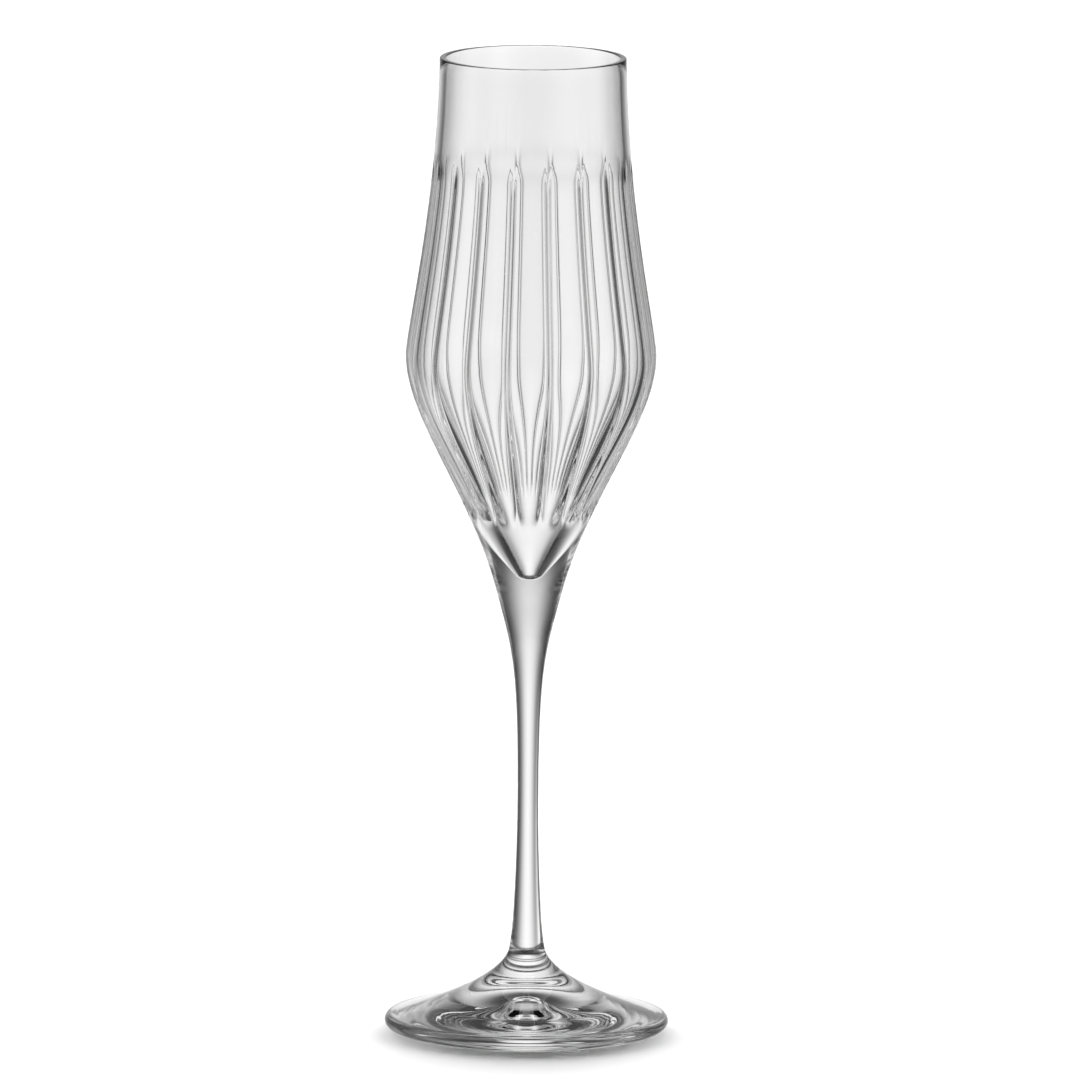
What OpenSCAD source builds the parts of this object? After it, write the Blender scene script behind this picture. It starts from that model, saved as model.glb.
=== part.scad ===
// Champagne flute in clear crystal: a tulip bowl with vertical cut flutes, a solid stem and a round foot.
// Three pieces of glass, fused face to face at two flat welds. Sizes are in millimetres.
// Origin: the middle of the circle that the foot rests on. +Z points up, to the rim.

/* [Bowl] */
// Height of the whole glass, from the table to the rim
total_h = 240; // [230:1:255]
// Outer diameter at the rim
rim_d = 45.6; // [43:0.2:49]
// Outer diameter at the widest place, measured over the ridges
belly_d = 61.2; // [57:0.2:66]
// Height of the widest place
belly_z = 166.5; // [162:0.5:170]
// Thickness of the wall at the rim
rim_wall = 1.6; // [1.4:0.1:2]
// Thickness of the wall at the widest place, measured over the ridges
belly_wall = 2.2; // [2:0.1:3]
// Solid glass between the pointed inside and the stem
bowl_floor = 3.6; // [2:0.1:4.5]

/* [Flutes] */
// How many flutes go round the bowl
flute_count = 18; // [16:1:20]
// Turn of the flutes about the glass, in degrees
flute_turn = 9; // [0:1:20]
// Height of the narrow ridge between two flutes
ridge_h = 0.4; // [0.2:0.05:0.45]
// Half of the width of that ridge
ridge_w = 0.55; // [0.4:0.05:0.8]
// Depth of a flute above the widest place, as a share of the depth of a flat facet
upper_bow = 0.5; // [0:0.1:0.7]
// The same share low on the bowl, where the flutes are scooped out
lower_bow = 3; // [1:0.1:3]
// Height where the flutes end above
flute_top_z = 215; // [205:1:222]
// Height where the flutes end below
flute_low_z = 126.5; // [122:0.5:131]
// Height over which a flute runs out at each end
flute_run_out = 6; // [4:1:12]

/* [Stem] */
// Diameter of the weld between the bowl and the stem
bowl_weld_d = 16.5; // [14:0.1:18]
// Height of the weld between the bowl and the stem
bowl_weld_z = 109; // [106:1:112]
// Diameter at the thinnest place
waist_d = 5.1; // [4.6:0.1:6.5]
// Height of the thinnest place
waist_z = 56; // [50:1:62]

/* [Foot] */
// Diameter of the foot
foot_d = 69.6; // [64:0.2:76]
// Thickness of the rounded edge of the foot
foot_edge = 3.6; // [3:0.1:4.2]
// Diameter of the weld between the stem and the foot
foot_weld_d = 9.1; // [8:0.1:10.5]
// Height of the weld between the stem and the foot
foot_weld_z = 19; // [17:0.5:21]
// Width of the flat ring that the foot rests on
rest_ring_w = 1.4; // [1:0.1:2.5]
// Height of the shallow hollow under the foot
foot_hollow = 0.5; // [0.3:0.1:1]
// Height of the wide dimple that rises from that hollow
dimple_h = 3.4; // [1.5:0.1:4]
// Diameter of the dimple
dimple_d = 36; // [30:0.5:40]

/* [Hidden] */

$fn = 96;
glass = [0.9, 0.93, 0.94, 0.55];
// Points on each curve of an outline
curve_steps = 18;
// Points on the long curve from the rim to the widest place
upper_steps = 26;
// Points on the small rounds of the rim, the pointed inside and the edge of the foot
lip_steps = 3;
tip_steps = 6;
edge_steps = 10;
// Where one flute is cut into facets, from its ridge at 0 to the middle of the flute at 1
flute_stations = [0, 0.13, 0.4, 1, 1.6, 1.87];
// The cutter of the inside goes on past the rim
clear = 1;

rim_r = rim_d / 2;
belly_r = belly_d / 2;
bowl_weld_r = bowl_weld_d / 2;
waist_r = waist_d / 2;
foot_weld_r = foot_weld_d / 2;
half_flute = 180 / flute_count;
// How fast the radius grows with height at each weld, so that the outline has no corner there
bowl_weld_lean = 0.27;
foot_weld_lean = 0.32;

// Reach of the handles that shape the outside of the bowl, across and down
rim_pull = [0.5, -37];
belly_pull_up = 6.7;
belly_pull_down = 15.5;
bowl_weld_pull = 23.5;
// Reach of the handles that shape its inside
inner_rim_pull = [0.3, -36];
inner_belly_pull_up = 7.5;
inner_belly_pull_down = 13.5;
tip_pull = [12.4, 24];
tip_side_pull = [0.4, 0.8];
tip_end_pull = 1;
// Reach of the handles that shape the stem
trumpet_pull = 16;
waist_pull_up = 34;
waist_pull_down = 5;
ankle_pull = 5;
// Reach of the handles that shape the foot, above and below
cone_pull = 6.5;
edge_pull = [9, 1.6];
hollow_pull = 5;
hollow_end_pull = 2;
dimple_pull = 8;
dimple_top = 7;

// Outline curves are cubic Bezier curves: two end points and two handles.
function bezier(p, t) =
    p[0] * pow(1 - t, 3) + 3 * p[1] * t * pow(1 - t, 2) + 3 * p[2] * t * t * (1 - t) + p[3] * pow(t, 3);
function curve(p, steps) = [for (i = [0:steps]) bezier(p, i / steps)];
function without_first(list) = [for (i = [1:len(list) - 1]) list[i]];

// Part of a circle between two directions, in degrees, about a centre.
function arc(centre, r, from, to, steps) =
    [for (i = [0:steps]) let (a = from + (to - from) * i / steps) centre + r * [cos(a), sin(a)]];

// The rim is rounded on both sides, with a narrow flat land between.
lip_share = 0.2;
lip_r = lip_share * rim_wall;
// Outside of the bowl, from the rim down to the weld, over the ridges.
upper_outside = [
    [rim_r, total_h - lip_r],
    [rim_r, total_h] + rim_pull,
    [belly_r, belly_z + belly_pull_up],
    [belly_r, belly_z]
];
lower_outside = [
    [belly_r, belly_z],
    [belly_r, belly_z - belly_pull_down],
    [bowl_weld_r + bowl_weld_lean * bowl_weld_pull, bowl_weld_z + bowl_weld_pull],
    [bowl_weld_r, bowl_weld_z]
];
bowl_outside = concat(
    arc([rim_r - lip_r, total_h - lip_r], lip_r, 90, 0, lip_steps),
    without_first(curve(upper_outside, upper_steps)),
    without_first(curve(lower_outside, curve_steps))
);

// Inside of the bowl, from its rounded point up to the rim.
tip_r = 2.2;
tip_rise = 1.3;
tip_z = bowl_weld_z + bowl_floor;
inner_belly_r = belly_r - belly_wall;
inner_rim_r = rim_r - rim_wall;
tip_inside = [
    [0, tip_z],
    [tip_end_pull, tip_z],
    [tip_r, tip_z + tip_rise] - tip_side_pull,
    [tip_r, tip_z + tip_rise]
];
lower_inside = [
    [tip_r, tip_z + tip_rise],
    [tip_r, tip_z] + tip_pull,
    [inner_belly_r, belly_z - inner_belly_pull_down],
    [inner_belly_r, belly_z]
];
upper_inside = [
    [inner_belly_r, belly_z],
    [inner_belly_r, belly_z + inner_belly_pull_up],
    [inner_rim_r, total_h] + inner_rim_pull,
    [inner_rim_r, total_h - lip_r]
];
lip_inside = arc([inner_rim_r + lip_r, total_h - lip_r], lip_r, 180, 90, lip_steps);

// How far a height has come from one height to another, from 0 to 1, easing in and out.
function eased(z, from, to) =
    let (t = min(1, max(0, (z - from) / (to - from)))) t * t * (3 - 2 * t);

// 1 along the flutes and below 0 past their ends, rounded as a cutting wheel leaves the glass.
function run_out(z) =
    let (t = min(1, (flute_top_z - z) / flute_run_out, (z - flute_low_z) / flute_run_out))
    t > 0 ? t * (2 - t) : 2 * t;

// The flutes reach their full scoop at this share of the way down from the widest place.
scoop_share = 0.7;
scoop_z = belly_z - scoop_share * (belly_z - flute_low_z);
function bow(z) = upper_bow + (lower_bow - upper_bow) * eased(z, belly_z, scoop_z);

// How deep the glass is cut, at a place given from 0 on a ridge to 1 in the middle of a flute. The arched
// ends of the flutes come from the cut getting shallower while the ridge keeps its shape.
function flute_cut(across, r, z) =
    let (
        hollow = bow(z) * r * (1 - cos(half_flute)),
        off_ridge = across * half_flute * PI / 180 * r,
        ridge = hollow * pow(1 - across, 2) + ridge_h * exp(-pow(off_ridge / ridge_w, 2))
    )
    max(0, run_out(z) * (hollow + ridge_h) - ridge);

function bowl_ring(p) = [
    for (k = [0:flute_count - 1], s = flute_stations)
        let (angle = flute_turn + (2 * k + s) * half_flute, r = p[0] - flute_cut(min(s, 2 - s), p[0], p[1]))
        [r * sin(angle), -r * cos(angle), p[1]]
];

// A solid with the same number of points in each ring, from the top ring down.
module ringed_solid(rings) {
    n = len(rings[0]);
    last = len(rings) - 1;
    points = [for (ring = rings) each ring];
    sides = [
        for (i = [0:last - 1], k = [0:n - 1])
            let (a = i * n + k, b = i * n + (k + 1) % n)
            each [[a, b, b + n], [a, b + n, a + n]]
    ];
    top_face = [for (k = [n - 1:-1:0]) k];
    low_face = [for (k = [0:n - 1]) last * n + k];
    polyhedron(points = points, faces = concat(sides, [top_face, low_face]), convexity = 6);
}

module bowl_inside() {
    rotate_extrude()
        polygon(concat(
            curve(tip_inside, tip_steps),
            without_first(curve(lower_inside, curve_steps)),
            without_first(curve(upper_inside, curve_steps)),
            without_first(lip_inside),
            [[inner_rim_r + lip_r, total_h + clear], [0, total_h + clear]]
        ));
}

// The blown bowl: plain band at the rim, flutes outside, smooth and pointed inside.
module bowl() {
    color(glass)
        difference() {
            ringed_solid([for (p = bowl_outside) bowl_ring(p)]);
            bowl_inside();
        }
}

// The solid stem: a trumpet under the bowl, drawn in to its waist, then widening to the foot.
module stem() {
    trumpet = [
        [bowl_weld_r, bowl_weld_z],
        [bowl_weld_r - bowl_weld_lean * trumpet_pull, bowl_weld_z - trumpet_pull],
        [waist_r, waist_z + waist_pull_up],
        [waist_r, waist_z]
    ];
    ankle = [
        [waist_r, waist_z],
        [waist_r, waist_z - waist_pull_down],
        [foot_weld_r - foot_weld_lean * ankle_pull, foot_weld_z + ankle_pull],
        [foot_weld_r, foot_weld_z]
    ];
    color(glass)
        rotate_extrude()
            polygon(concat(
                [[0, bowl_weld_z]],
                curve(trumpet, curve_steps),
                without_first(curve(ankle, curve_steps)),
                [[0, foot_weld_z]]
            ));
}

// The pressed foot: a hollow-sided cone with a bull-nosed edge, a flat rest ring and a wide dimple below.
module foot() {
    edge_r = foot_edge / 2;
    edge_centre_r = foot_d / 2 - edge_r;
    ring_in_r = edge_centre_r - rest_ring_w;
    dimple_r = dimple_d / 2;
    dimple_z = foot_hollow + dimple_h;
    cone = [
        [foot_weld_r, foot_weld_z],
        [foot_weld_r + foot_weld_lean * cone_pull, foot_weld_z - cone_pull],
        [edge_centre_r - edge_pull[0], foot_edge + edge_pull[1]],
        [edge_centre_r, foot_edge]
    ];
    hollow = [
        [ring_in_r, 0],
        [ring_in_r - hollow_pull, foot_hollow],
        [dimple_r + hollow_end_pull, foot_hollow],
        [dimple_r, foot_hollow]
    ];
    dimple = [
        [dimple_r, foot_hollow],
        [dimple_r - dimple_pull, foot_hollow],
        [dimple_top, dimple_z],
        [0, dimple_z]
    ];
    color(glass)
        rotate_extrude()
            polygon(concat(
                [[0, foot_weld_z]],
                curve(cone, curve_steps),
                without_first(arc([edge_centre_r, edge_r], edge_r, 90, -90, edge_steps)),
                curve(hollow, curve_steps),
                without_first(curve(dimple, curve_steps))
            ));
}

bowl();
stem();
foot();
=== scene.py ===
import math

import bpy
import numpy as np
from mathutils import Matrix, Vector


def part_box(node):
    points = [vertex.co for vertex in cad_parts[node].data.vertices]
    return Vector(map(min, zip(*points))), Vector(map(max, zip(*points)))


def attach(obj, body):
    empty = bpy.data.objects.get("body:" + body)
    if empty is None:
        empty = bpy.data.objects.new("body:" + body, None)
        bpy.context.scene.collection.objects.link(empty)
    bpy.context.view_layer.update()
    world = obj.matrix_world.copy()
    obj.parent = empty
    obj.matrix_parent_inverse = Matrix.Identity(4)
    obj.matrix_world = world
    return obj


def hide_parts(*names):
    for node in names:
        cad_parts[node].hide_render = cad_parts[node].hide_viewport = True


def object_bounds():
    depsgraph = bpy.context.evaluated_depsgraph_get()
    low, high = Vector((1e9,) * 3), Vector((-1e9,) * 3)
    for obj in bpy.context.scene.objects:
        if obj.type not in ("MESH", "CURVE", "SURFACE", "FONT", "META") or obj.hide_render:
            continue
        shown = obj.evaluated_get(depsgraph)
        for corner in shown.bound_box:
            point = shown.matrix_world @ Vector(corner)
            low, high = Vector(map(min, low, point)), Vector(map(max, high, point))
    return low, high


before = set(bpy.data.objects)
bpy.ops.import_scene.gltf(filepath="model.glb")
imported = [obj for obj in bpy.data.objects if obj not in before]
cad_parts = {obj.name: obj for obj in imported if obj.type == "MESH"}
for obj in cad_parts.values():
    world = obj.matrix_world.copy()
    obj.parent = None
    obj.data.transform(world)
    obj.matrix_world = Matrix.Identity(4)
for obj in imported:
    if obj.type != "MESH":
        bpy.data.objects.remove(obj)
cad_low, cad_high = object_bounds()

# ---------------------------------------------------------------- sizes, in metres, around the CAD frame
MM = 0.001
TOTAL_H = cad_high.z
BOWL_WELD_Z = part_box("bowl")[0].z
FOOT_WELD_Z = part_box("foot")[1].z
FOOT_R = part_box("foot")[1].x

RIM_R = 22.8 * MM
RIM_WALL = 1.6 * MM
LIP_R = 0.2 * RIM_WALL
BELLY_R = 30.6 * MM
BELLY_Z = 166.5 * MM
BELLY_WALL = 2.2 * MM
BOWL_FLOOR = 3.6 * MM
TIP_R = 2.2 * MM
TIP_RISE = 1.3 * MM

FLUTES = 18
UPPER_BOW = 0.5
LOWER_BOW = 3
RIDGE_H = 0.4 * MM
RIDGE_W = 0.55 * MM
FLUTE_TOP_Z = 215 * MM
FLUTE_LOW_Z = 126.5 * MM
FLUTE_RUN_OUT = 6 * MM
# One ridge lies 9 degrees from -Y towards +X. Angles here are counted from +X.
FLUTE_TURN = math.radians(9 - 90)

BOWL_WELD_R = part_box("stem")[1].x
BOWL_WELD_LEAN = 0.27
WAIST_R = 2.55 * MM
WAIST_Z = 56 * MM
FOOT_WELD_R = 4.55 * MM
FOOT_WELD_LEAN = 0.32

FOOT_EDGE = 3.6 * MM
REST_RING_W = 1.4 * MM
FOOT_HOLLOW = 0.5 * MM
DIMPLE_R = 18 * MM
DIMPLE_H = 3.4 * MM

# Reach of the handles that shape the outside of the bowl, across and down
RIM_PULL = (0.5 * MM, -37 * MM)
BELLY_PULL_UP = 6.7 * MM
BELLY_PULL_DOWN = 15.5 * MM
BOWL_WELD_PULL = 23.5 * MM
# Reach of the handles that shape its inside
INNER_RIM_PULL = (0.3 * MM, -36 * MM)
INNER_BELLY_PULL_UP = 7.5 * MM
INNER_BELLY_PULL_DOWN = 13.5 * MM
TIP_PULL = (12.4 * MM, 24 * MM)
TIP_SIDE_PULL = (0.4 * MM, 0.8 * MM)
TIP_END_PULL = 1 * MM
# Reach of the handles that shape the stem
TRUMPET_PULL = 16 * MM
WAIST_PULL_UP = 34 * MM
WAIST_PULL_DOWN = 5 * MM
ANKLE_PULL = 5 * MM
# Reach of the handles that shape the foot, above and below
CONE_PULL = 6.5 * MM
EDGE_PULL = (9 * MM, 1.6 * MM)
HOLLOW_PULL = 5 * MM
HOLLOW_END_PULL = 2 * MM
DIMPLE_PULL = 8 * MM
DIMPLE_TOP = 7 * MM

# An outline that ends on the axis stops this far from it, and a small flat face closes it.
AXIS_GAP = 0.02 * MM
# The flutes reach their full scoop at this share of the way down from the widest place.
SCOOP_SHARE = 0.7
# The edges of the flutes are softened over about this depth, as polishing leaves them.
POLISH_DEPTH = 0.03 * MM
# Points round the stem and the foot
TURNED_POINTS = 360


# ---------------------------------------------------------------- outlines
def bezier(points, steps):
    """Points on a cubic Bezier curve through its two ends, as an array of (radius, height)."""
    p0, p1, p2, p3 = (np.array(p, float) for p in points)
    t = np.linspace(0, 1, steps + 1)[:, None]
    return (1 - t) ** 3 * p0 + 3 * (1 - t) ** 2 * t * p1 + 3 * (1 - t) * t * t * p2 + t ** 3 * p3


def arc(centre, radius, start, end, steps):
    """Points on a circular arc between two directions in degrees."""
    a = np.radians(np.linspace(start, end, steps + 1))
    return np.array(centre) + radius * np.column_stack([np.cos(a), np.sin(a)])


def chain(*curves):
    """Curves joined end to end, each shared point once."""
    return np.vstack([curves[0]] + [c[1:] for c in curves[1:]])


def bowl_outside():
    """From the rim down to the weld, over the ridges."""
    lip = arc((RIM_R - LIP_R, TOTAL_H - LIP_R), LIP_R, 90, 0, steps=6)
    upper = bezier([
        (RIM_R, TOTAL_H - LIP_R),
        (RIM_R + RIM_PULL[0], TOTAL_H + RIM_PULL[1]),
        (BELLY_R, BELLY_Z + BELLY_PULL_UP),
        (BELLY_R, BELLY_Z),
    ], steps=60)
    lower = bezier([
        (BELLY_R, BELLY_Z),
        (BELLY_R, BELLY_Z - BELLY_PULL_DOWN),
        (BOWL_WELD_R + BOWL_WELD_LEAN * BOWL_WELD_PULL, BOWL_WELD_Z + BOWL_WELD_PULL),
        (BOWL_WELD_R, BOWL_WELD_Z),
    ], steps=54)
    return chain(lip, upper, lower)


def bowl_inside():
    """From the rim down to the point of the inside."""
    tip_z = BOWL_WELD_Z + BOWL_FLOOR
    inner_belly = BELLY_R - BELLY_WALL
    lip = arc((RIM_R - RIM_WALL + LIP_R, TOTAL_H - LIP_R), LIP_R, 90, 180, steps=6)
    upper = bezier([
        (RIM_R - RIM_WALL, TOTAL_H - LIP_R),
        (RIM_R - RIM_WALL + INNER_RIM_PULL[0], TOTAL_H + INNER_RIM_PULL[1]),
        (inner_belly, BELLY_Z + INNER_BELLY_PULL_UP),
        (inner_belly, BELLY_Z),
    ], steps=30)
    lower = bezier([
        (inner_belly, BELLY_Z),
        (inner_belly, BELLY_Z - INNER_BELLY_PULL_DOWN),
        (TIP_R + TIP_PULL[0], tip_z + TIP_PULL[1]),
        (TIP_R, tip_z + TIP_RISE),
    ], steps=34)
    tip = bezier([
        (TIP_R, tip_z + TIP_RISE),
        (TIP_R - TIP_SIDE_PULL[0], tip_z + TIP_RISE - TIP_SIDE_PULL[1]),
        (TIP_END_PULL, tip_z),
        (AXIS_GAP, tip_z),
    ], steps=8)
    return chain(lip, upper, lower, tip)


def stem_outside():
    """From the bowl's weld down to the foot's weld."""
    trumpet = bezier([
        (BOWL_WELD_R, BOWL_WELD_Z),
        (BOWL_WELD_R - BOWL_WELD_LEAN * TRUMPET_PULL, BOWL_WELD_Z - TRUMPET_PULL),
        (WAIST_R, WAIST_Z + WAIST_PULL_UP),
        (WAIST_R, WAIST_Z),
    ], steps=40)
    ankle = bezier([
        (WAIST_R, WAIST_Z),
        (WAIST_R, WAIST_Z - WAIST_PULL_DOWN),
        (FOOT_WELD_R - FOOT_WELD_LEAN * ANKLE_PULL, FOOT_WELD_Z + ANKLE_PULL),
        (FOOT_WELD_R, FOOT_WELD_Z),
    ], steps=40)
    return chain(trumpet, ankle)


def foot_outside():
    """From the weld over the cone and the edge, across the rest ring and the hollow, to the middle."""
    edge_r = FOOT_EDGE / 2
    edge_centre = FOOT_R - edge_r
    ring_in = edge_centre - REST_RING_W
    cone = bezier([
        (FOOT_WELD_R, FOOT_WELD_Z),
        (FOOT_WELD_R + FOOT_WELD_LEAN * CONE_PULL, FOOT_WELD_Z - CONE_PULL),
        (edge_centre - EDGE_PULL[0], FOOT_EDGE + EDGE_PULL[1]),
        (edge_centre, FOOT_EDGE),
    ], steps=90)
    edge = arc((edge_centre, edge_r), edge_r, 90, -90, steps=24)
    ring = np.array([(edge_centre, 0), (ring_in, 0)])
    hollow = bezier([
        (ring_in, 0),
        (ring_in - HOLLOW_PULL, FOOT_HOLLOW),
        (DIMPLE_R + HOLLOW_END_PULL, FOOT_HOLLOW),
        (DIMPLE_R, FOOT_HOLLOW),
    ], steps=30)
    dimple = bezier([
        (DIMPLE_R, FOOT_HOLLOW),
        (DIMPLE_R - DIMPLE_PULL, FOOT_HOLLOW),
        (DIMPLE_TOP, FOOT_HOLLOW + DIMPLE_H),
        (AXIS_GAP, FOOT_HOLLOW + DIMPLE_H),
    ], steps=60)
    return chain(cone, edge, ring, hollow, dimple)


# ---------------------------------------------------------------- the flutes
def run_out(z):
    """1 along a flute, falling to 0 past each of its ends, as a round wheel leaves the glass."""
    t = min((FLUTE_TOP_Z - z) / FLUTE_RUN_OUT, (z - FLUTE_LOW_Z) / FLUTE_RUN_OUT, 1.0)
    return t * (2 - t) if t > 0 else 2 * t


def flute_cut(across, r, z):
    """How deep the glass is cut at a height, where the ridges have radius r. across is 0 on a ridge and 1 in
    the middle of a flute."""
    half = math.pi / FLUTES
    low = min(max((BELLY_Z - z) / (SCOOP_SHARE * (BELLY_Z - FLUTE_LOW_Z)), 0.0), 1.0)
    bow = UPPER_BOW + (LOWER_BOW - UPPER_BOW) * low * low * (3 - 2 * low)
    hollow = bow * r * (1 - math.cos(half))
    ridge = hollow * (1 - across) ** 2 + RIDGE_H * np.exp(-(across * half * r / RIDGE_W) ** 2)
    depth = run_out(z) * (hollow + RIDGE_H) - ridge
    return 0.5 * (depth + np.sqrt(depth ** 2 + POLISH_DEPTH ** 2))


# ---------------------------------------------------------------- mesh building
def ring_mesh(name, rings, close_start, close_end):
    """A mesh through rings of equally many points. Each closed end gets one flat face with sharp edges,
    after the side faces. Returns the object and the number of side faces."""
    count = len(rings[0])
    vertices = np.vstack(rings)
    faces = []
    for i in range(len(rings) - 1):
        for k in range(count):
            a, b = i * count + k, i * count + (k + 1) % count
            faces.append((a, b, b + count, a + count))
    caps = []
    if close_start:
        caps.append(tuple(range(count - 1, -1, -1)))
    if close_end:
        last = (len(rings) - 1) * count
        caps.append(tuple(range(last, last + count)))
    mesh = bpy.data.meshes.new(name)
    mesh.from_pydata(vertices.tolist(), [], faces + caps)
    mesh.polygons.foreach_set("use_smooth", [True] * len(faces) + [False] * len(caps))
    mesh.update()
    sharp = mesh.attributes.new("sharp_edge", "BOOLEAN", "EDGE")
    end_rings = [set(cap) for cap in caps]
    for edge in mesh.edges:
        sharp.data[edge.index].value = any(set(edge.vertices) <= end for end in end_rings)
    piece = bpy.data.objects.new(name, mesh)
    bpy.context.scene.collection.objects.link(piece)
    return piece, len(faces)


def ring(r, z, angles):
    """One ring of points. r is a radius or one radius per angle."""
    return np.column_stack([r * np.cos(angles), r * np.sin(angles), np.full(len(angles), z)])


def turned(name, outline, count, start_cap, end_cap):
    """A solid of revolution from an outline of (radius, height)."""
    angles = np.arange(count) * 2 * math.pi / count
    return ring_mesh(name, [ring(r, z, angles) for r, z in outline], start_cap, end_cap)


def weld_slot(piece, first_cap, last_cap):
    """Puts the flat faces from first_cap up to last_cap into the weld's material slot."""
    for i in range(first_cap, last_cap):
        piece.data.polygons[i].material_index = 1


def make_bowl():
    """The blown bowl: fluted outside, smooth and pointed inside."""
    # Places across half a flute, closer together at the ridge.
    half = np.array([0, 0.035, 0.07, 0.105, 0.14, 0.18, 0.23, 0.3, 0.4, 0.52, 0.65, 0.82, 1])
    across = np.concatenate([half, half[-2:0:-1]])
    turn = np.concatenate([half, 2 - half[-2:0:-1]])
    angles = np.concatenate([FLUTE_TURN + (2 * k + turn) * math.pi / FLUTES for k in range(FLUTES)])
    across = np.tile(across, FLUTES)
    outside = [ring(r - flute_cut(across, r, z), z, angles) for r, z in bowl_outside()]
    inside = [ring(np.full(len(angles), r), z, angles) for r, z in bowl_inside()]
    rings = outside[::-1] + inside
    piece, sides = ring_mesh("crystal_bowl", rings, True, True)
    weld_slot(piece, sides, sides + 1)
    return piece


def make_stem():
    """The solid stem, with a weld at each end."""
    piece, sides = turned("crystal_stem", stem_outside()[::-1], TURNED_POINTS, True, True)
    weld_slot(piece, sides, sides + 2)
    return piece


def make_foot():
    """The pressed foot, with the weld on top."""
    piece, sides = turned("crystal_foot", foot_outside()[::-1], TURNED_POINTS, True, True)
    weld_slot(piece, sides + 1, sides + 2)
    return piece


# ---------------------------------------------------------------- materials
GLASS_IOR = 1.54
RING_SCALE = 420
HAZE_SCALE = 160
HAZE_ROUGHNESS = 0.03
DUST_SCALE = 260
DUST_SIZE = 0.05
DUST_ROUGHNESS = 0.1


def node_tree(material):
    """The material's node tree, emptied."""
    material.use_nodes = True
    tree = material.node_tree
    tree.nodes.clear()
    return tree


def new_node(tree, kind, **settings):
    """A node of this kind, with its properties set."""
    node = tree.nodes.new(kind)
    for key, value in settings.items():
        setattr(node, key, value)
    return node


def math_node(tree, operation, *values):
    """A Math node whose inputs are numbers or other nodes' sockets. Returns its output."""
    node = new_node(tree, "ShaderNodeMath", operation=operation)
    for socket, value in zip(node.inputs, values):
        if isinstance(value, (int, float)):
            socket.default_value = value
        else:
            tree.links.new(value, socket)
    return node.outputs[0]


def total(tree, *values):
    """The sum of several numbers or sockets."""
    result = values[0]
    for value in values[1:]:
        result = math_node(tree, "ADD", result, value)
    return result


def times(tree, *values):
    """The product of several numbers or sockets."""
    result = values[0]
    for value in values[1:]:
        result = math_node(tree, "MULTIPLY", result, value)
    return result


def bump(tree, height, distance, normal=None):
    """A Bump node over a height pattern, on top of another bump's normal if one is given."""
    node = new_node(tree, "ShaderNodeBump")
    node.inputs["Strength"].default_value = 1.0
    node.inputs["Distance"].default_value = distance
    tree.links.new(height, node.inputs["Height"])
    if normal:
        tree.links.new(normal, node.inputs["Normal"])
    return node.outputs["Normal"]


def noise(tree, vector, scale, detail):
    """The value of a noise texture."""
    node = new_node(tree, "ShaderNodeTexNoise")
    node.inputs["Scale"].default_value = scale
    node.inputs["Detail"].default_value = detail
    tree.links.new(vector, node.inputs["Vector"])
    return node.outputs["Fac"]


def drawn_waves(tree, place, stretch, scale, height):
    """Soft waves that the fire leaves in the surface, longer along one axis where it was drawn."""
    mapping = new_node(tree, "ShaderNodeMapping")
    mapping.inputs["Scale"].default_value = stretch
    tree.links.new(place, mapping.inputs["Vector"])
    return bump(tree, noise(tree, mapping.outputs["Vector"], scale, 1.5), height)


def mould_rings(tree, place, height, normal):
    """Faint rings from turning in the mould: noise that changes with the radius only."""
    split = new_node(tree, "ShaderNodeSeparateXYZ")
    tree.links.new(place, split.inputs[0])
    across = times(tree, split.outputs["X"], split.outputs["X"])
    along = times(tree, split.outputs["Y"], split.outputs["Y"])
    radius = math_node(tree, "SQRT", total(tree, across, along))
    rings = new_node(tree, "ShaderNodeTexNoise", noise_dimensions="1D")
    rings.inputs["Scale"].default_value = RING_SCALE
    rings.inputs["Detail"].default_value = 1
    tree.links.new(radius, rings.inputs["W"])
    return bump(tree, rings.outputs["Fac"], height, normal)


def haze_and_dust(tree, place):
    """Roughness: haze in soft patches, with sparse specks of dust."""
    haze = new_node(tree, "ShaderNodeMapRange")
    haze.inputs["From Min"].default_value = 0.45
    haze.inputs["From Max"].default_value = 0.8
    haze.inputs["To Min"].default_value = 0.0
    haze.inputs["To Max"].default_value = HAZE_ROUGHNESS
    tree.links.new(noise(tree, place, HAZE_SCALE, 4), haze.inputs["Value"])
    dust = new_node(tree, "ShaderNodeTexVoronoi")
    dust.inputs["Scale"].default_value = DUST_SCALE
    tree.links.new(place, dust.inputs["Vector"])
    speck = math_node(tree, "LESS_THAN", dust.outputs["Distance"], DUST_SIZE)
    return total(tree, haze.outputs["Result"], times(tree, speck, DUST_ROUGHNESS))


def crystal(name, stretch, wave_scale, wave_height, ring_height):
    """Clear crystal with soft waves, faint rings, fine dust and a breath of haze."""
    material = bpy.data.materials.new(name)
    tree = node_tree(material)
    out = new_node(tree, "ShaderNodeOutputMaterial")
    glass = new_node(tree, "ShaderNodeBsdfPrincipled")
    glass.inputs["Base Color"].default_value = (1, 1, 1, 1)
    glass.inputs["Transmission Weight"].default_value = 1.0
    glass.inputs["IOR"].default_value = GLASS_IOR
    place = new_node(tree, "ShaderNodeTexCoord").outputs["Object"]
    waves = drawn_waves(tree, place, stretch, wave_scale, wave_height)
    tree.links.new(mould_rings(tree, place, ring_height, waves), glass.inputs["Normal"])
    tree.links.new(haze_and_dust(tree, place), glass.inputs["Roughness"])
    tree.links.new(glass.outputs["BSDF"], out.inputs["Surface"])
    return material


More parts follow.
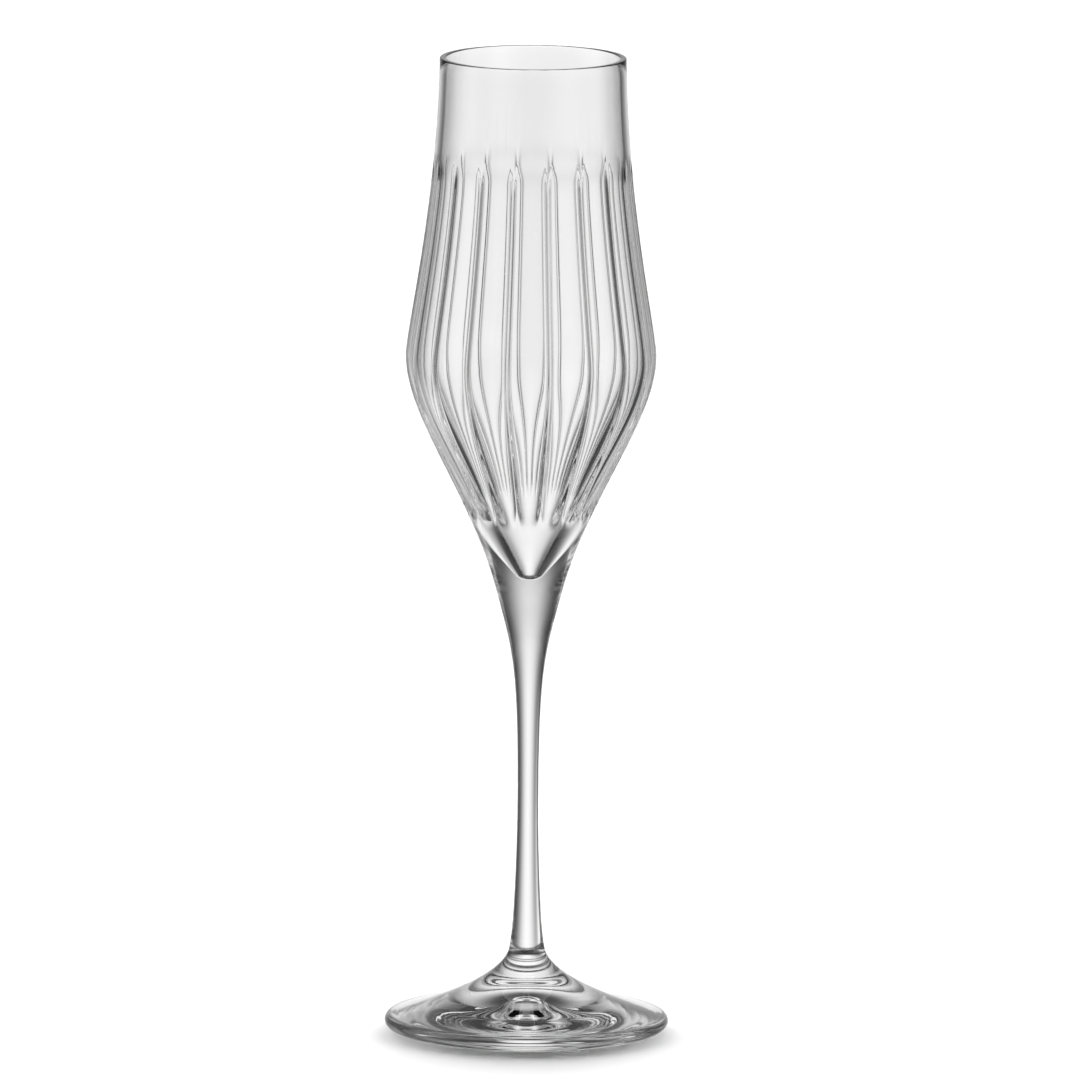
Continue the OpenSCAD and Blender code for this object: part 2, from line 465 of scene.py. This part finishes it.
def fused_weld():
    """The faces inside a weld, where glass meets glass: nothing shows there."""
    material = bpy.data.materials.new("fused_weld")
    tree = node_tree(material)
    out = new_node(tree, "ShaderNodeOutputMaterial")
    clear = new_node(tree, "ShaderNodeBsdfPrincipled")
    clear.inputs["Alpha"].default_value = 0.0
    tree.links.new(clear.outputs["BSDF"], out.inputs["Surface"])
    return material


# ---------------------------------------------------------------- the pieces
weld = fused_weld()
pieces = {
    "bowl": (make_bowl(), crystal("bowl_crystal", (1, 1, 0.3), 60, 0.03 * MM, 0)),
    "stem": (make_stem(), crystal("stem_crystal", (1, 1, 0.12), 220, 0.006 * MM, 0)),
    "foot": (make_foot(), crystal("foot_crystal", (1, 1, 1), 70, 0.04 * MM, 0.012 * MM)),
}
for node, (piece, material) in pieces.items():
    piece.data.materials.append(material)
    piece.data.materials.append(weld)
    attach(piece, "root")
    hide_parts(node)


# ---------------------------------------------------------------- floor, world and camera
FLOOR_GAP = 0.02 * MM
# Soft panels round the studio: azimuth, its width, elevation, its height, all in degrees, and brightness.
# Azimuth 0 is straight behind the glass as the main camera sees it, positive towards -X.
PANELS = [
    (90, 24, 0, 34, 1.02),
    (-90, 16, 0, 30, 0.5),
    (-135, 26, -8, 28, 1.05),
]
DARK_LEVEL = 0.05
# The top light is a band of the sky: the elevations where it fades in and out, and its brightness.
TOP_FADE_IN = (18, 45)
TOP_FADE_OUT = (58, 72)
TOP_LIGHT = 1.1
# The floor's own light: low behind the glass (azimuth width, elevation, its width), and from below.
LOW_SUN_WIDTH = 42
LOW_SUN_ELEVATION = 11
LOW_SUN_HEIGHT = 8
LOW_SUN = 88
BELOW_LIGHT = 1.3
# How much of the studio light the glass keeps from the floor
FLOOR_SHADE = 0.93
# The backdrop behind the glass, and its two glowing patches: centre, half width, half height and brightness.
BACKDROP_Y = 1.0
BACKDROP_HALF = 1.8
MIDDLE_X, MIDDLE_Z, MIDDLE_HALF_W, MIDDLE_HALF_H, MIDDLE_GLOW = 0.0, -0.55, 0.445, 1.05, 1.02
SIDE_X, SIDE_Z, SIDE_HALF_W, SIDE_HALF_H, SIDE_GLOW = -1.0, -0.5, 0.36, 0.34, 1.12


def make_panel(name, corners):
    """One flat face through four corners. Returns the object."""
    mesh = bpy.data.meshes.new(name)
    mesh.from_pydata(corners, [], [(0, 1, 2, 3)])
    panel = bpy.data.objects.new(name, mesh)
    bpy.context.scene.collection.objects.link(panel)
    return panel


def make_floor():
    """A plain pale floor, a hair below the foot, which the glass doesn't see."""
    half = 3.0
    floor = make_panel("floor", [(-half, -half, 0), (half, -half, 0), (half, half, 0), (-half, half, 0)])
    material = bpy.data.materials.new("pale_floor")
    tree = node_tree(material)
    out = new_node(tree, "ShaderNodeOutputMaterial")
    matt = new_node(tree, "ShaderNodeBsdfDiffuse")
    matt.inputs["Color"].default_value = (0.95, 0.95, 0.95, 1)
    tree.links.new(matt.outputs[0], out.inputs["Surface"])
    floor.data.materials.append(material)
    floor.visible_transmission = False
    floor.visible_glossy = False
    floor.location.z = -FLOOR_GAP


def bell(tree, value, centre, width):
    """1 where the value is at the centre, falling to 0 as a bell curve of this width, in degrees."""
    off = math_node(tree, "SUBTRACT", value, math.radians(centre))
    near = math_node(tree, "WRAP", off, math.pi, -math.pi)
    share = math_node(tree, "DIVIDE", near, math.radians(width))
    return math_node(tree, "EXPONENT", times(tree, share, share, -1.0))


def rise(tree, value, start, end):
    """0 up to the start, 1 from the end on, with a smooth step between. Both are in degrees."""
    node = new_node(tree, "ShaderNodeMapRange", interpolation_type="SMOOTHSTEP")
    tree.links.new(value, node.inputs["Value"])
    node.inputs["From Min"].default_value = math.radians(start)
    node.inputs["From Max"].default_value = math.radians(end)
    return node.outputs["Result"]


def make_world():
    """Glass sees dark walls with soft panels and a top light. The floor and the camera see a white room."""
    world = bpy.data.worlds.new("studio")
    bpy.context.scene.world = world
    world.use_nodes = True
    tree = world.node_tree
    tree.nodes.clear()
    out = new_node(tree, "ShaderNodeOutputWorld")
    place = new_node(tree, "ShaderNodeTexCoord")
    split = new_node(tree, "ShaderNodeSeparateXYZ")
    tree.links.new(place.outputs["Generated"], split.inputs[0])
    azimuth = math_node(tree, "ARCTAN2", times(tree, split.outputs["X"], -1.0), split.outputs["Y"])
    elevation = math_node(tree, "ARCSINE", split.outputs["Z"])

    level = DARK_LEVEL
    for az, az_width, el, el_width, bright in PANELS:
        glow = times(tree, bell(tree, azimuth, az, az_width), bell(tree, elevation, el, el_width), bright)
        level = total(tree, glow, level)
    below_zenith = math_node(tree, "SUBTRACT", 1.0, rise(tree, elevation, *TOP_FADE_OUT))
    top = times(tree, rise(tree, elevation, *TOP_FADE_IN), below_zenith)
    level = total(tree, level, times(tree, top, TOP_LIGHT))

    # The room is bright below the horizon. The floor is lit low from behind, so the shadow falls forwards.
    sun_height = bell(tree, elevation, LOW_SUN_ELEVATION, LOW_SUN_HEIGHT)
    low_sun = times(tree, bell(tree, azimuth, 0, LOW_SUN_WIDTH), sun_height, LOW_SUN)
    is_low = math_node(tree, "LESS_THAN", elevation, 0.0)
    is_high = math_node(tree, "SUBTRACT", 1.0, is_low)
    room_level = total(tree, times(tree, is_low, BELOW_LIGHT), times(tree, is_high, low_sun))

    # Little of the studio light reaches the floor through the glass, so the shadow is dark at the foot.
    seen = new_node(tree, "ShaderNodeLightPath")
    from_floor = math_node(tree, "GREATER_THAN", seen.outputs["Diffuse Depth"], 0.5)
    passed = math_node(tree, "SUBTRACT", 1.0, times(tree, from_floor, FLOOR_SHADE))

    studio = new_node(tree, "ShaderNodeBackground")
    tree.links.new(times(tree, level, passed), studio.inputs["Strength"])
    room = new_node(tree, "ShaderNodeBackground")
    tree.links.new(room_level, room.inputs["Strength"])
    by_glass = math_node(tree, "MAXIMUM", seen.outputs["Is Glossy Ray"], seen.outputs["Is Transmission Ray"])
    mix = new_node(tree, "ShaderNodeMixShader")
    tree.links.new(by_glass, mix.inputs[0])
    tree.links.new(room.outputs[0], mix.inputs[1])
    tree.links.new(studio.outputs[0], mix.inputs[2])
    tree.links.new(mix.outputs[0], out.inputs["Surface"])


def glow_patch(tree, split, x, z, half_w, half_h, height_power, bright):
    """A soft patch of light on the backdrop. A height_power above 2 makes its middle flatter and its ends
    firmer."""
    across = times(tree, total(tree, split.outputs["X"], -x), 1 / half_w)
    height = times(tree, total(tree, split.outputs["Z"], -z), 1 / half_h)
    far = total(tree, times(tree, across, across), times(tree, *[height] * height_power))
    return times(tree, math_node(tree, "EXPONENT", times(tree, far, -1.0)), bright)


def make_backdrop():
    """A panel behind the glass, which only the glass sees: a tall glow in the middle, and a smaller one
    low on the left for whoever looks down at the glass from the right."""
    half = BACKDROP_HALF
    corners = [(-half, -half), (half, -half), (half, half), (-half, half)]
    backdrop = make_panel("backdrop", [(x, BACKDROP_Y, z) for x, z in corners])
    material = bpy.data.materials.new("backdrop_glow")
    tree = node_tree(material)
    out = new_node(tree, "ShaderNodeOutputMaterial")
    place = new_node(tree, "ShaderNodeTexCoord")
    split = new_node(tree, "ShaderNodeSeparateXYZ")
    tree.links.new(place.outputs["Object"], split.inputs[0])
    middle = glow_patch(tree, split, MIDDLE_X, MIDDLE_Z, MIDDLE_HALF_W, MIDDLE_HALF_H, 4, MIDDLE_GLOW)
    side = glow_patch(tree, split, SIDE_X, SIDE_Z, SIDE_HALF_W, SIDE_HALF_H, 2, SIDE_GLOW)
    emission = new_node(tree, "ShaderNodeEmission")
    tree.links.new(total(tree, middle, side, DARK_LEVEL), emission.inputs["Strength"])
    tree.links.new(emission.outputs[0], out.inputs["Surface"])
    backdrop.data.materials.append(material)
    backdrop.visible_camera = False
    backdrop.visible_diffuse = False
    backdrop.visible_shadow = False


def make_camera():
    """A long lens 5 m away, looking down by 9.2 degrees, with the glass a little left of the middle."""
    distance = 5.0
    elevation = math.radians(9.2)
    frame_width = 264 * MM
    roll = math.radians(0.42)
    target = Vector((2.5 * MM, 0, TOTAL_H / 2 + 0.95 * MM))
    back = Vector((0, -math.cos(elevation), math.sin(elevation)))
    data = bpy.data.cameras.new("camera")
    data.sensor_width = 36
    data.lens = 36 * distance / frame_width
    data.clip_start = 0.1
    data.clip_end = 100
    camera = bpy.data.objects.new("camera", data)
    bpy.context.scene.collection.objects.link(camera)
    look = (-back).to_track_quat("-Z", "Y").to_matrix().to_4x4()
    camera.matrix_world = Matrix.Translation(target + back * distance) @ look @ Matrix.Rotation(roll, 4, "Z")
    bpy.context.scene.camera = camera


make_floor()
make_world()
make_backdrop()
make_camera()

scene = bpy.context.scene
scene.view_settings.view_transform = "Standard"
# Light crosses many surfaces on its way through both walls of the bowl.
scene.cycles.max_bounces = 32
scene.cycles.transmission_bounces = 32
scene.cycles.glossy_bounces = 16
scene.cycles.transparent_max_bounces = 16
